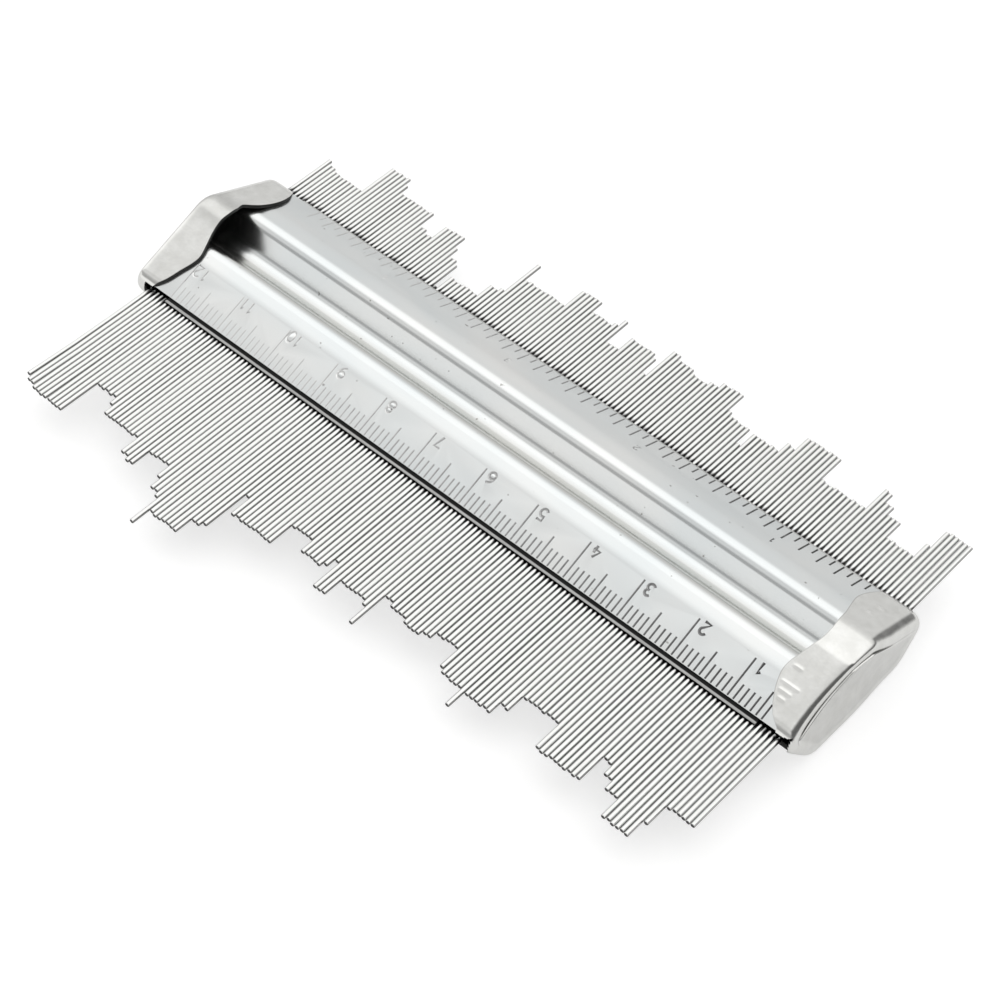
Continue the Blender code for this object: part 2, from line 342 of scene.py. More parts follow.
def drawn_wire():
    """Bright on its crown, with painted shade on its flanks against its neighbours and painted
    shadow where the body holds it.
    """
    steel = Steel("drawn_wire")
    draw_lines = steel.noise((9.0, 0.05, 9.0), detail=2)
    tone = steel.node("ShaderNodeAttribute", {"attribute_name": "coil_tone"}, output=2)
    height = (steel.along(2) - WIRE_Z / MM).absolute() / (WIRE_RADIUS / MM)
    reach = (steel.along(1) - BODY_Y / MM).absolute()
    held = (1 - reach.rises(HELD_TO, 17.0)) * 0.7 + (1 - reach.rises(HELD_TO, 20.5)) * 0.3
    # Painted shade on the flanks between neighbouring wires, wider on wires with a larger random
    # share, and wider still near the body as painted shadow.
    low = tone * 0.20 + held * 0.50 + 0.20
    high = tone * 0.22 + held * 0.38 + 0.60
    painted_shade = 1 - height.rises(low, high)
    crown = steel.mix_colour(draw_lines, colour(0.74, 0.74, 0.73), colour(0.88, 0.88, 0.87))
    # Painted shadow: the flanks go near black where the body holds the wire.
    flank = steel.mix_colour(held, colour(0.34, 0.34, 0.33), grey(0.03))
    steel.bump(draw_lines, 0.08, 0.02 * MM)
    return steel.finished(steel.mix_colour(painted_shade, crown, flank), 0.15 + draw_lines * 0.10)


def cut_end():
    steel = Steel("cut_end")
    shear = steel.noise((5.0, 5.0, 5.0), detail=2)
    # Painted shade: the cut ends are near black, as if in shadow.
    sheared = steel.mix_colour(shear, grey(0.01), colour(0.16, 0.16, 0.155))
    steel.bump(shear, 0.4, 0.03 * MM)
    return steel.finished(sheared, 0.45 + shear * 0.2)


# %% Liner strip and stamped marks
def liner_strip():
    """Bright along its sheared edges, and painted black as shade under the shells."""
    steel = Steel("liner_strip")
    streaks = steel.noise((0.2, 6.0, 6.0), detail=2)
    edge = (LINER_HALF_WIDTH + LINER_PROUD) / MM
    rim = (BODY_Y / MM - steel.along(1)).rises(edge - 0.45, edge - 0.37)
    rim = rim + (steel.along(1) - BODY_Y / MM).rises(edge - 0.9, edge - 0.6)
    top = (steel.along(2) - WIRE_Z / MM).absolute() / ((LINER_SEAT + LINER_SHEET) / MM)
    # Painted shade: all but the top of the exposed edges is near black, as it lies in the shells'
    # shadow.
    bright = rim.clamped() * top.rises(0.80, 0.90)
    sheared = steel.mix_colour(streaks, colour(0.26, 0.26, 0.255), colour(0.66, 0.66, 0.65))
    return steel.finished(steel.mix_colour(bright, grey(0.03), sheared), 0.50 + streaks * 0.1)


def stamped_groove():
    """The walls of a stamped mark: painted dark as shade in the cut, lighter towards the left end,
    where they are polished.
    """
    steel = Steel("stamped_groove")
    wear = steel.noise((0.8, 0.8, 0.8), detail=2)
    fade = ((48 - steel.along(0)) / 80 + (wear - 0.5) * 0.5).clamped()
    # Painted shade in the cut, fading to bare steel towards the worn left end.
    shade_and_wear = steel.mix_colour(fade, grey(0.20), colour(0.80, 0.805, 0.80))
    return steel.finished(shade_and_wear, 0.20 + wear * 0.1)


ROLLED_SHEET = rolled_sheet()
SHEET_INSIDE = sheet_inside()
CAP_SHEET = cap_sheet()
DRAWN_WIRE = drawn_wire()
CUT_END = cut_end()
LINER_STRIP = liner_strip()
STAMPED_GROOVE = stamped_groove()
print("finishes:", [made.name for made in bpy.data.materials if made.use_nodes])

# %% [markdown]
# ## Bent sheet
# A pressed shell is one outline pulled along the body. A fold in sheet metal has its
# inner and outer bend round the same centre, so the outline is drawn once as corners
# with bend radii, and the other side of the sheet is the same path moved sideways.

# %% Paths with bends
def ways_at(corners, closed):
    """The unit directions into and out of each corner of a path."""
    count = len(corners)
    ways = [(corners[(i + 1) % count] - corners[i]).normalized() for i in range(count)]
    if closed:
        return [(ways[i - 1], ways[i]) for i in range(count)]
    return [(ways[max(i - 1, 0)], ways[min(i, count - 2)]) for i in range(count)]


def left_of(way):
    return Vector((-way.y, way.x))


def shifted(corners, radii, distance, closed=False):
    """A path moved to its left, with each bend kept round the same centre."""
    least = 0.05 * MM
    moved = []
    bends = []
    for corner, radius, (way_in, way_out) in zip(corners, radii, ways_at(corners, closed)):
        normal_in, normal_out = left_of(way_in), left_of(way_out)
        mitre = (normal_in + normal_out) / (1 + normal_in.dot(normal_out))
        moved.append(corner + mitre * distance)
        tightening = math.copysign(distance, distance * way_in.cross(way_out))
        bends.append(max(radius - tightening, least) if radius else 0.0)
    return moved, bends


def rounded(corners, radii, closed=False, steps=16):
    """The points of a path, with an arc at each corner that has a radius."""
    points = []
    for corner, radius, (way_in, way_out) in zip(corners, radii, ways_at(corners, closed)):
        if not radius:
            points.append(corner)
            continue
        angle = math.atan2(way_in.cross(way_out), way_in.dot(way_out))
        start = corner - way_in * radius * math.tan(abs(angle) / 2)
        centre = start + left_of(way_in) * math.copysign(radius, angle)
        for step in range(steps + 1):
            points.append(centre + Matrix.Rotation(angle * step / steps, 2) @ (start - centre))
    return points


# %% From an outline to a piece
def lofted(rings, inside_from=None):
    """A solid skinned through rings. Past one point of a ring its faces have the inside finish."""
    solid = bmesh.new()
    loops = [[solid.verts.new(point) for point in ring] for ring in rings]
    count = len(loops[0])
    for near, far in zip(loops, loops[1:]):
        for i in range(count):
            following = (i + 1) % count
            face = solid.faces.new((near[i], near[following], far[following], far[i]))
            is_inside = inside_from is not None and inside_from < i < count - 1
            face.material_index = 1 if is_inside else 0
    solid.faces.new(loops[0])
    solid.faces.new(loops[-1])
    return solid


def as_mesh(name, solid, sharp_degrees=30):
    """Close a bmesh with its faces outwards, and shade it smooth round its bends."""
    bmesh.ops.recalc_face_normals(solid, faces=solid.faces)
    mesh = bpy.data.meshes.new(name)
    solid.to_mesh(mesh)
    solid.free()
    mesh.shade_smooth()
    mesh.set_sharp_from_angle(angle=math.radians(sharp_degrees))
    return mesh


def as_object(name, mesh, *finishes):
    item = bpy.data.objects.new(name, mesh)
    bpy.context.scene.collection.objects.link(item)
    for finish in finishes:
        mesh.materials.append(finish)
    return item


def baked(item, name):
    """A plain mesh of an object with its modifiers, in place of the object."""
    bpy.context.view_layer.update()
    evaluated = item.evaluated_get(bpy.context.evaluated_depsgraph_get())
    mesh = bpy.data.meshes.new_from_object(evaluated)
    mesh.name = name
    bpy.data.objects.remove(item, do_unlink=True)
    return mesh


def fit_piece(name, mesh, body, slot, *nodes):
    """Move a mesh into the gauge's place, and let it stand for its solids."""
    mesh.transform(GAUGE_PLACE)
    item = as_object(name, mesh)
    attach(item, body)
    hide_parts(*nodes)
    print(name, "faces:", len(mesh.polygons))


# %% [markdown]
# ## The shells' outline
# Each flange rises from a long edge to a shoulder, and a groove runs between the two
# shoulders. The groove's floor presses on the wires through the liner. The upper flanges
# bend gently half way up. The lower shell is deeper, with flat lands instead of sharp
# shoulders, so that the gauge lies steady.

# %% The outline of each shell
SHELL_CUT_BACK = 1.6 * MM


def mirrored(half):
    return [Vector((-point.x, point.y)) for point in reversed(half)] + half


def upper_outline():
    """The corners and bends of the upper shell. Its groove lies a little to the near side."""
    edge = Vector((SHELL_HALF_WIDTH, UPPER_EDGE))
    floor = Vector((GROOVE_FLOOR_HALF, GROOVE_FLOOR))
    knee_rise = (SHELL_HALF_WIDTH - KNEE_PLACE) * math.tan(FLANGE_ANGLE)
    knee = Vector((KNEE_PLACE, UPPER_EDGE + knee_rise))
    flange_slope, wall_slope = math.tan(INNER_FLANGE_ANGLE), math.tan(GROOVE_ANGLE)
    rise = knee.y - GROOVE_FLOOR + flange_slope * (KNEE_PLACE - GROOVE_FLOOR_HALF)
    peak = floor + rise / (wall_slope + flange_slope) * Vector((1, wall_slope))
    corners = mirrored([floor, peak, knee, edge])
    for corner in corners[2:6]:
        corner.x += GROOVE_SHIFT
    radii = [0.0, KNEE_RADIUS, SHOULDER_RADIUS, GROOVE_FLOOR_RADIUS]
    return corners, radii + radii[::-1]


def lower_outline():
    edge = Vector((SHELL_HALF_WIDTH, LOWER_EDGE))
    floor = Vector((GROOVE_FLOOR_HALF, GROOVE_FLOOR))
    inner = floor + (LAND_DEPTH - GROOVE_FLOOR) * Vector((1 / math.tan(GROOVE_ANGLE), 1))
    outer = edge + (LAND_DEPTH - LOWER_EDGE) * Vector((-1 / math.tan(LOWER_FLANGE_ANGLE), 1))
    radii = [0.0, LOWER_SHOULDER_RADIUS, LOWER_SHOULDER_RADIUS, GROOVE_FLOOR_RADIUS]
    return mirrored([floor, inner, outer, edge]), radii + radii[::-1]


def sheet_section(corners, radii):
    """Both sides of the sheet as one closed outline, and where its inner side starts."""
    inner_corners, inner_radii = shifted(corners, radii, -SHELL_SHEET)
    bends = [radius or SHEET_EDGE_RADIUS for radius in radii + inner_radii[::-1]]
    section = rounded(corners + inner_corners[::-1], bends, closed=True)
    return section, len(corners) * (len(section) // len(bends)) - 1


def shell_bar(name, section, inside_from):
    """A shell between two caps. It ends earlier at the right one, whose face is set back."""
    ends = (-SHELL_HALF_LENGTH, SHELL_HALF_LENGTH - SHELL_CUT_BACK)
    rings = [[(x, y, z) for y, z in section] for x in ends]
    return as_object(name, as_mesh(name, lofted(rings, inside_from)), ROLLED_SHEET, SHEET_INSIDE)


# %% [markdown]
# ## Stamped scales
# The near flange carries centimetres and the far one inches, both read from the far
# side. The marks are pressed in with a sharp tool, so each is a small V-shaped cut. A
# Geometry Nodes tree repeats one V along the edge and gives every fifth and tenth its
# longer stroke, and a Boolean presses the row into the sheet.

# %% Growing a mesh with Geometry Nodes
def geometry_sketch(name, inputs):
    """An empty tree with named inputs. Returns its sketch and its inputs as terms."""
    tree = bpy.data.node_groups.new(name, "GeometryNodeTree")
    tree.interface.new_socket("Geometry", in_out="OUTPUT", socket_type="NodeSocketGeometry")
    for label, kind in inputs.items():
        tree.interface.new_socket(label, in_out="INPUT", socket_type="NodeSocket" + kind)
    sketch = Sketch(tree)
    entry = tree.nodes.new("NodeGroupInput")
    return sketch, {label: Term(sketch, entry.outputs[label]) for label in inputs}


def points_in_row(sketch, given, start):
    """Points along X, as many and as far apart as the inputs say."""
    values = {"Count": given["Count"], "Start Location": start}
    values["Offset"] = sketch.vector(X=given["Pitch"])
    return sketch.node("GeometryNodeMeshLine", {"mode": "OFFSET"}, values)


def close_tree(sketch, geometry):
    leave = sketch.tree.nodes.new("NodeGroupOutput")
    sketch.feed(leave.inputs[0], geometry)


def grown(name, tree, settings):
    """The plain mesh that a tree makes from these settings."""
    item = as_object(name, bpy.data.meshes.new(name))
    modifier = item.modifiers.new(name, "NODES")
    modifier.node_group = tree
    for socket in tree.interface.items_tree:
        if socket.in_out == "INPUT":
            modifier[socket.identifier] = settings[socket.name]
    return baked(item, name)


# %% The tree that repeats a mark
def tick_tree():
    inputs = {
        "Mark": "Object", "Count": "Int", "Pitch": "Float", "Start": "Float", "First": "Int",
        "Middle every": "Int", "Long every": "Int",
        "Short": "Float", "Middle": "Float", "Long": "Float", "Inset": "Float",
    }
    sketch, given = geometry_sketch("row_of_marks", inputs)
    line = points_in_row(sketch, given, sketch.vector(X=given["Start"], Y=given["Inset"]))
    number = sketch.node("GeometryNodeInputIndex") + given["First"]
    is_middle = (number % given["Middle every"]) < 0.5
    is_long = (number % given["Long every"]) < 0.5
    length = given["Short"] + is_middle * (given["Middle"] - given["Short"])
    length = length + is_long * (given["Long"] - given["Middle"])
    size = sketch.vector(X=1.0, Y=length / MM, Z=1.0)
    mark = sketch.node("GeometryNodeObjectInfo", {}, {"Object": given["Mark"]}, output="Geometry")
    values = {"Points": line, "Instance": mark, "Scale": size}
    marks = sketch.node("GeometryNodeInstanceOnPoints", {}, values)
    whole = sketch.node("GeometryNodeRealizeInstances", {}, {"Geometry": marks})
    values = {"Geometry": whole, "Material": STAMPED_GROOVE}
    close_tree(sketch, sketch.node("GeometryNodeSetMaterial", {}, values))
    return sketch.tree


# %% One mark, and a stroke that follows a path
MARK_WIDTH = 0.32 * MM
MARK_DEPTH = 0.13 * MM
MARK_LIFT = 0.04 * MM


def stroke(solid, points, width, depth, closed=False):
    """Sweep a V-shaped cut along a path on the sheet, point down."""
    spread = width / 2 * (depth + MARK_LIFT) / depth
    path = [Vector(point) for point in points]
    ways = ways_at(path, closed)
    sections = []
    for point, (way_in, way_out) in zip(path, ways):
        side = left_of((way_in + way_out).normalized()) * spread
        corners = [(*(point + side), MARK_LIFT), (*(point - side), MARK_LIFT), (*point, -depth)]
        sections.append([solid.verts.new(corner) for corner in corners])
    pairs = list(zip(sections, sections[1:]))
    if closed:
        pairs.append((sections[-1], sections[0]))
    for near, far in pairs:
        for i in range(3):
            following = (i + 1) % 3
            solid.faces.new((near[i], near[following], far[following], far[i]))
    if not closed:
        solid.faces.new(sections[0])
        solid.faces.new(sections[-1])


def unit_mark():
    solid = bmesh.new()
    stroke(solid, [(0, 0), (0, MM)], MARK_WIDTH, MARK_DEPTH)
    return as_object("unit_mark", as_mesh("unit_mark", solid))


# %% Numerals as strokes
def bow(x, y, width, height, start, end, steps=10):
    """An arc of an ellipse, between two angles in degrees."""
    angles = [math.radians(start + (end - start) * step / steps) for step in range(steps + 1)]
    return [(x + width * math.cos(angle), y + height * math.sin(angle)) for angle in angles]


DIGITS = {
    "0": [bow(0, 0, 0.28, 0.5, 0, 360, 18)],
    "1": [[(-0.16, 0.28), (0.04, 0.5), (0.04, -0.5)]],
    "2": [bow(0, 0.22, 0.27, 0.28, 165, -30) + [(-0.28, -0.5), (0.30, -0.5)]],
    "3": [bow(0, 0.25, 0.25, 0.25, 150, -80) + bow(0, -0.23, 0.29, 0.27, 80, -150)],
    "4": [[(0.02, 0.5), (-0.32, -0.16), (0.30, -0.16)], [(0.12, 0.14), (0.12, -0.5)]],
    "5": [[(0.27, 0.5), (-0.20, 0.5)] + bow(0, -0.17, 0.29, 0.33, 130, -150)],
    "6": [
        bow(0, -0.2, 0.28, 0.3, 0, 360, 16),
        [(0.20, 0.5)] + bow(0.06, -0.1, 0.34, 0.5, 110, 175, 5),
    ],
    "7": [[(-0.28, 0.5), (0.28, 0.5), (-0.06, -0.5)]],
    "8": [bow(0, -0.23, 0.29, 0.27, 0, 360, 16), bow(0, 0.25, 0.23, 0.24, 0, 360, 14)],
    "9": [
        bow(0, 0.2, 0.28, 0.3, 0, 360, 16),
        [(-0.20, -0.5)] + bow(-0.06, 0.1, 0.34, 0.5, 290, 355, 5),
    ],
}
DIGIT_ADVANCE = 0.72


def is_loop(path):
    return (Vector(path[0]) - Vector(path[-1])).length < 0.01 * MM


def number_strokes(text, height, centre, turned, pass_number):
    """The strokes of a number that one pass of the tool makes, centred on a place."""
    sign = -1 if turned else 1
    for index, digit in enumerate(text):
        shift = (index - (len(text) - 1) / 2) * DIGIT_ADVANCE
        for path in DIGITS[digit][pass_number:pass_number + 1]:
            yield [
                (centre[0] + sign * (x + shift) * height, centre[1] + sign * y * height)
                for x, y in path
            ]


def numbers_mesh(name, numbers, width, depth, pass_number):
    """The cutter for a row of numbers. A second pass holds the strokes that cross the first."""
    solid = bmesh.new()
    for text, height, centre, turned in numbers:
        for path in number_strokes(text, height, centre, turned, pass_number):
            closed = is_loop(path)
            stroke(solid, path[:-1] if closed else path, width, depth, closed)
    mesh = as_mesh(name, solid)
    mesh.materials.append(STAMPED_GROOVE)
    return mesh


# %% The place of a flange
def flange_place(side):
    """Turns a drawing on a flange, with its edge as the base line, into the gauge's space."""
    edge = Vector((0, side * SHELL_HALF_WIDTH, UPPER_EDGE))
    up = Vector((0, -side * math.cos(FLANGE_ANGLE), math.sin(FLANGE_ANGLE)))
    out = Vector((0, side * math.sin(FLANGE_ANGLE), math.cos(FLANGE_ANGLE)))
    along = up.cross(out)
    turned = Matrix((along, up, out)).transposed().to_4x4()
    return Matrix.Translation(edge) @ turned


# %% Both scales
CM_ZERO = 62.32 * MM
CM_FIRST = 4
CM_LAST = 120
CM_LENGTHS = (2.55 * MM, 4.12 * MM, 6.62 * MM)
CM_DIGIT = 1.9 * MM
CM_DIGIT_PLACE = (1.5 * MM, 5.9 * MM)
CM_DIGIT_CUT = (0.46 * MM, 0.17 * MM)
INCH = 25.4 * MM
INCH_ZERO = 66.68 * MM
INCH_FIRST = 7
INCH_LAST = 76
INCH_LENGTHS = (1.90 * MM, 3.25 * MM, 3.25 * MM)
INCH_DIGIT = 1.3 * MM
INCH_DIGIT_PLACE = (0.4 * MM, 5.2 * MM)
INCH_DIGIT_CUT = (0.30 * MM, 0.10 * MM)
MARK_INSET = 0.12 * MM


def row_of_marks(name, tree, mark, first, last, pitch, zero, every, lengths):
    middle_every, long_every = every
    short, middle, long = lengths
    return grown(name, tree, {
        "Mark": mark, "Count": last - first + 1, "Pitch": pitch, "Start": zero + first * pitch,
        "First": first, "Middle every": middle_every, "Long every": long_every,
        "Short": short, "Middle": middle, "Long": long, "Inset": MARK_INSET,
    })


def scale_cutters():
    """The marks and numbers of both scales, each mesh with the flange that it is cut into."""
    tree = tick_tree()
    mark = unit_mark()
    centimetres = row_of_marks(
        "centimetre_marks", tree, mark, CM_FIRST, CM_LAST, -MM, CM_ZERO, (5, 10), CM_LENGTHS
    )
    step = INCH / 16
    inches = row_of_marks(
        "inch_marks", tree, mark, INCH_FIRST, INCH_LAST, step, -INCH_ZERO, (2, 16), INCH_LENGTHS
    )
    bpy.data.objects.remove(mark)
    aside, up = CM_DIGIT_PLACE
    cm_numbers = [
        (str(number), CM_DIGIT, (CM_ZERO - number * 10 * MM + aside, up), True)
        for number in range(1, 13)
    ]
    aside, up = INCH_DIGIT_PLACE
    inch_numbers = [
        (str(number), INCH_DIGIT, (-INCH_ZERO + number * INCH + aside, up), False)
        for number in range(1, 5)
    ]
    near, far = flange_place(-1), flange_place(1)
    cutters = [(centimetres, near), (inches, far)]
    for pass_number in (0, 1):
        cm_text = numbers_mesh("centimetre_numbers", cm_numbers, *CM_DIGIT_CUT, pass_number)
        inch_text = numbers_mesh("inch_numbers", inch_numbers, *INCH_DIGIT_CUT, pass_number)
        cutters += [(cm_text, near), (inch_text, far)]
    return [(mesh, place) for mesh, place in cutters if mesh.polygons]


# %% Press the scales into the upper shell
def pressed_shell():
    shell = shell_bar("shell_blank", *sheet_section(*upper_outline()))
    cutters = []
    for mesh, place in scale_cutters():
        mesh.transform(place)
        cutter = as_object(mesh.name + "_cutter", mesh)
        cutters.append(cutter)
        boolean = shell.modifiers.new(mesh.name, "BOOLEAN")
        boolean.object = cutter
        boolean.operation = "DIFFERENCE"
        boolean.solver = "EXACT"
        boolean.use_self = True
        boolean.material_mode = "TRANSFER"
    even = shell.modifiers.new("even_shading", "WEIGHTED_NORMAL")
    even.keep_sharp = True
    mesh = baked(shell, "upper_shell_sheet")
    for cutter in cutters:
        bpy.data.objects.remove(cutter)
    return mesh


fit_piece("upper_shell_sheet", pressed_shell(), "body", "shell_steel", "upper_shell")

# %% The lower shell
lower_section, inside_from = sheet_section(*lower_outline())
lower_section = [Vector((y, -z)) for y, z in lower_section]
lower_mesh = baked(shell_bar("lower_blank", lower_section, inside_from), "lower_shell_sheet")
fit_piece("lower_shell_sheet", lower_mesh, "body", "shell_steel", "lower_shell")

# %% [markdown]
# ## Liners
# A thin flat strip lies between the wires and each shell. On the near side it stands a
# little further out, and shows as a bright line below the edge of the shell. Its long
# edges are sheared, so they get a fine rounding.

# %% The liners
LINER_EDGE_RADIUS = 0.06 * MM


def liner_mesh(name, side):
    near, far, half = -LINER_HALF_WIDTH - LINER_PROUD, LINER_HALF_WIDTH, LINER_SHEET / 2
    corners = [Vector(place) for place in ((near, -half), (far, -half), (far, half), (near, half))]
    section = rounded(corners, [LINER_EDGE_RADIUS] * 4, closed=True, steps=5)
    middle = side * (LINER_SEAT + LINER_SHEET / 2)
    ends = (-LINER_HALF_LENGTH, LINER_HALF_LENGTH)
    rings = [[(x, y, z + middle) for y, z in section] for x in ends]
    mesh = as_mesh(name, lofted(rings))
    mesh.materials.append(LINER_STRIP)
    return mesh


for name, side in (("upper_liner", 1), ("lower_liner", -1)):
    fit_piece(name + "_strip", liner_mesh(name + "_strip", side), "body", "liner_steel", name)

# %% [markdown]
# ## Wires
# The comb has 154 wires of the same length. Each is cut blunt and has the small burr of
# the cutter at its ends. One wire is modelled and a Geometry Nodes tree lays it side by
# side, each a hair off its neighbours as loose wires are. A group of wires that slides
# as one solid gets as many wires as its width holds. The wires at the far left bow out
# a little past the near edge of the body.

# %% One wire
WIRE_PITCH = 0.808 * MM
WIRE_SIDES = 12
WIRE_BURR = 0.05 * MM
WIRE_UNEVENNESS = 0.15 * MM
WIRE_LEAN = math.radians(0.02)
SPLAY_FROM = 14 * MM
SPLAY_REACH = 18 * MM


def one_wire(length):
    """A rod along Y with softened cut ends, in a few rings so that it can bow."""
    half = length / 2
    stations = [(-half, WIRE_RADIUS - WIRE_BURR), (-half + WIRE_BURR, WIRE_RADIUS)]
    stations += [(half * share, WIRE_RADIUS) for share in (-0.72, -0.42)]
    stations += [(half - WIRE_BURR, WIRE_RADIUS), (half, WIRE_RADIUS - WIRE_BURR)]
    rings = []
    for y, radius in stations:
        angles = [math.tau * side / WIRE_SIDES for side in range(WIRE_SIDES)]
        rings.append([(radius * math.cos(turn), y, radius * math.sin(turn)) for turn in angles])
    return as_object("one_wire", as_mesh("one_wire", lofted(rings), sharp_degrees=35))


# %% The tree that lays the wires
def wire_tree():
    inputs = {
        "Wire": "Object", "Count": "Int", "Pitch": "Float", "Unevenness": "Float",
        "Lean": "Float", "Splay": "Float", "Seed": "Int",
    }
    sketch, given = geometry_sketch("comb_of_wires", inputs)
    half_row = (given["Count"] - 1) * given["Pitch"] / -2
    line = points_in_row(sketch, given, sketch.vector(X=half_row))

    def chance(reach, seed):
        values = {2: reach * -1, 3: reach, "Seed": given["Seed"] + seed}
        return sketch.node("FunctionNodeRandomValue", {"data_type": "FLOAT"}, values, output=1)

    push = sketch.vector(Y=chance(given["Unevenness"], 1))
    line = sketch.node("GeometryNodeSetPosition", {}, {"Geometry": line, "Offset": push})
    lean = sketch.vector(Z=chance(given["Lean"], 2))
    wire = sketch.node("GeometryNodeObjectInfo", {}, {"Object": given["Wire"]}, output="Geometry")
    values = {"Points": line, "Instance": wire, "Rotation": lean}
    wires = sketch.node("GeometryNodeInstanceOnPoints", {}, values)
    values = {"Geometry": wires, "Name": "coil_tone", "Value": chance(0.5, 3) + 0.5}
    wires = sketch.node("GeometryNodeStoreNamedAttribute", {"domain": "INSTANCE"}, values)
    whole = sketch.node("GeometryNodeRealizeInstances", {}, {"Geometry": wires})
    reach = sketch.part_of(sketch.node("GeometryNodeInputPosition"), 1)
    past_edge = ((reach + SPLAY_FROM) / -SPLAY_REACH).math("MAXIMUM", 0)
    bow_out = sketch.vector(X=past_edge * past_edge * given["Splay"])
    whole = sketch.node("GeometryNodeSetPosition", {}, {"Geometry": whole, "Offset": bow_out})
    values = {"Geometry": whole, "Material": DRAWN_WIRE}
    whole = sketch.node("GeometryNodeSetMaterial", {}, values)
    facing = sketch.part_of(sketch.node("GeometryNodeInputNormal"), 1)
    is_end = facing.absolute() > 0.9
    values = {"Geometry": whole, "Selection": is_end, "Material": CUT_END}
    close_tree(sketch, sketch.node("GeometryNodeSetMaterial", {}, values))
    return sketch.tree


# %% Lay every group of wires
SPLAY = {
    "wires_01": -0.45 * MM, "wires_02": -0.36 * MM,
    "wires_03": -0.22 * MM, "wires_04": -0.06 * MM,
}
groups = sorted(name for name in frame["bodies"] if name.startswith("wires_"))
first_low, first_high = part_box(groups[0])
wire = one_wire(first_high.y - first_low.y)
comb = wire_tree()
for seed, name in enumerate(groups):
    low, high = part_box(name)
    count = round((high.x - low.x) / WIRE_PITCH)
    mesh = grown(name + "_rods", comb, {
        "Wire": wire, "Count": count, "Pitch": WIRE_PITCH, "Unevenness": WIRE_UNEVENNESS,
        "Lean": WIRE_LEAN, "Splay": SPLAY.get(name, 0.0), "Seed": 10 * seed,
    })
    middle = (low + high) / 2
    mesh.transform(Matrix.Translation((middle.x, middle.y - BODY_Y, 0)))
    fit_piece(name + "_rods", mesh, name, "wire_steel", name)
bpy.data.objects.remove(wire)

# %% [markdown]
# ## End caps
# Each cap is pressed from one sheet: an end face, and two wings folded over the shells.
# A tool forms it in one stroke, which leaves a roll between wing and face, a low ledge
# round the face, and a lobed edge where the wings were trimmed. The right cap's face is
# also knocked in a little at its middle. The cap is drawn as one outline round both
# shells. Rings of that outline, shrunk and pushed outwards, give the roll, the ledge and
# the face, so the sheet stays smooth, and Solidify gives it its thickness.

# %% The outline that a cap follows
CAP_THICKNESS = 0.6 * MM
CAP_OFFSET = WIRE_Z - LAND_DEPTH
ROLL_LENGTH = 2.5 * MM
CAP_SLOT = UPPER_EDGE + CAP_OFFSET - CAP_THICKNESS
CAP_OPEN_TIP = 13.6 * MM
CAP_EDGE_ROUNDING = 0.14 * MM
TIP_RADIUS = 1.95 * MM
CAP_LAND_RADIUS = 4.0 * MM
FLAT_FACE = [(-8.0, 0.0), (-5.75, 0.0), (7.5, 0.0), (9.0, 0.0)]

# %% [markdown]
# Each cap was measured by itself, in millimetres: how deep its wings reach at each place
# across, how far its face is set back at each height on the near and far side, and where
# the press left beads, as a place across with a start and an end along the body.

# %% The measures of both caps
RIGHT_CAP = {
    "side": 1, "ridge": (2.7, -2.3), "ridge_radius": 3.0, "slot_end": 63.5, "swell": (0.25, 0.45),
    "ridge_shade": 0.0, "edge_shade": 0.35,
    "near_set_back": [
        (-8.0, 0.0), (-5.75, 0.0), (-4.4, 0.0), (-2.0, 0.4), (0.0, 1.0), (1.5, 1.45), (2.9, 1.55),
        (4.2, 1.4), (5.9, 1.0), (7.5, 0.5), (9.0, 0.4),
    ],
    "far_set_back": [
        (-8.0, 0.2), (-5.75, 0.2), (-4.4, 0.2), (-2.0, 0.3), (0.0, 0.4), (2.9, 0.4), (5.9, 0.4),
        (7.5, 0.5), (9.0, 0.4),
    ],
    "edge": [
        (-16.5, 1.2), (-15.5, 3.2), (-14.86, 4.0), (-13.87, 5.58), (-12.86, 6.53), (-11.73, 7.3),
        (-10.5, 7.97), (-9.2, 8.48), (-8.0, 8.71), (-6.6, 8.54), (-5.1, 8.02), (-3.6, 7.57),
        (-2.0, 7.11), (0.5, 7.12), (3.1, 7.42), (5.1, 7.75), (7.1, 8.3), (9.6, 8.82), (11.5, 8.6),
        (13.3, 7.95), (14.4, 7.2), (15.1, 6.0), (15.5, 4.6), (16.5, 2.0),
    ],
    "beads": [
        (-6.9, 57.3, 59.0), (-9.4, 57.2, 60.4), (-10.5, 57.6, 59.9), (-11.5, 58.2, 59.6),
        (8.0, 58.9, 60.0), (10.4, 59.2, 60.7),
    ],
}
LEFT_CAP = {
    "side": -1, "ridge": (0.82, -0.82), "ridge_radius": 4.0, "slot_end": 62.9, "swell": (0.0, 0.0),
    "ridge_shade": 0.22, "edge_shade": 0.0,
    "near_set_back": FLAT_FACE, "far_set_back": FLAT_FACE,
    "edge": [
        (-16.5, 1.5), (-15.4, 3.47), (-14.5, 4.34), (-13.2, 5.19), (-11.2, 6.0), (-9.3, 6.82),
        (-7.9, 7.1), (-6.0, 6.61), (-4.0, 5.97), (-2.0, 5.65), (0.0, 5.77), (2.0, 5.55), (3.6, 5.1),
        (5.0, 5.75), (6.3, 6.3), (8.5, 6.71), (10.8, 6.67), (12.9, 6.2), (14.3, 5.55), (15.4, 4.5),
        (16.5, 2.0),
    ],
    "beads": [],
}


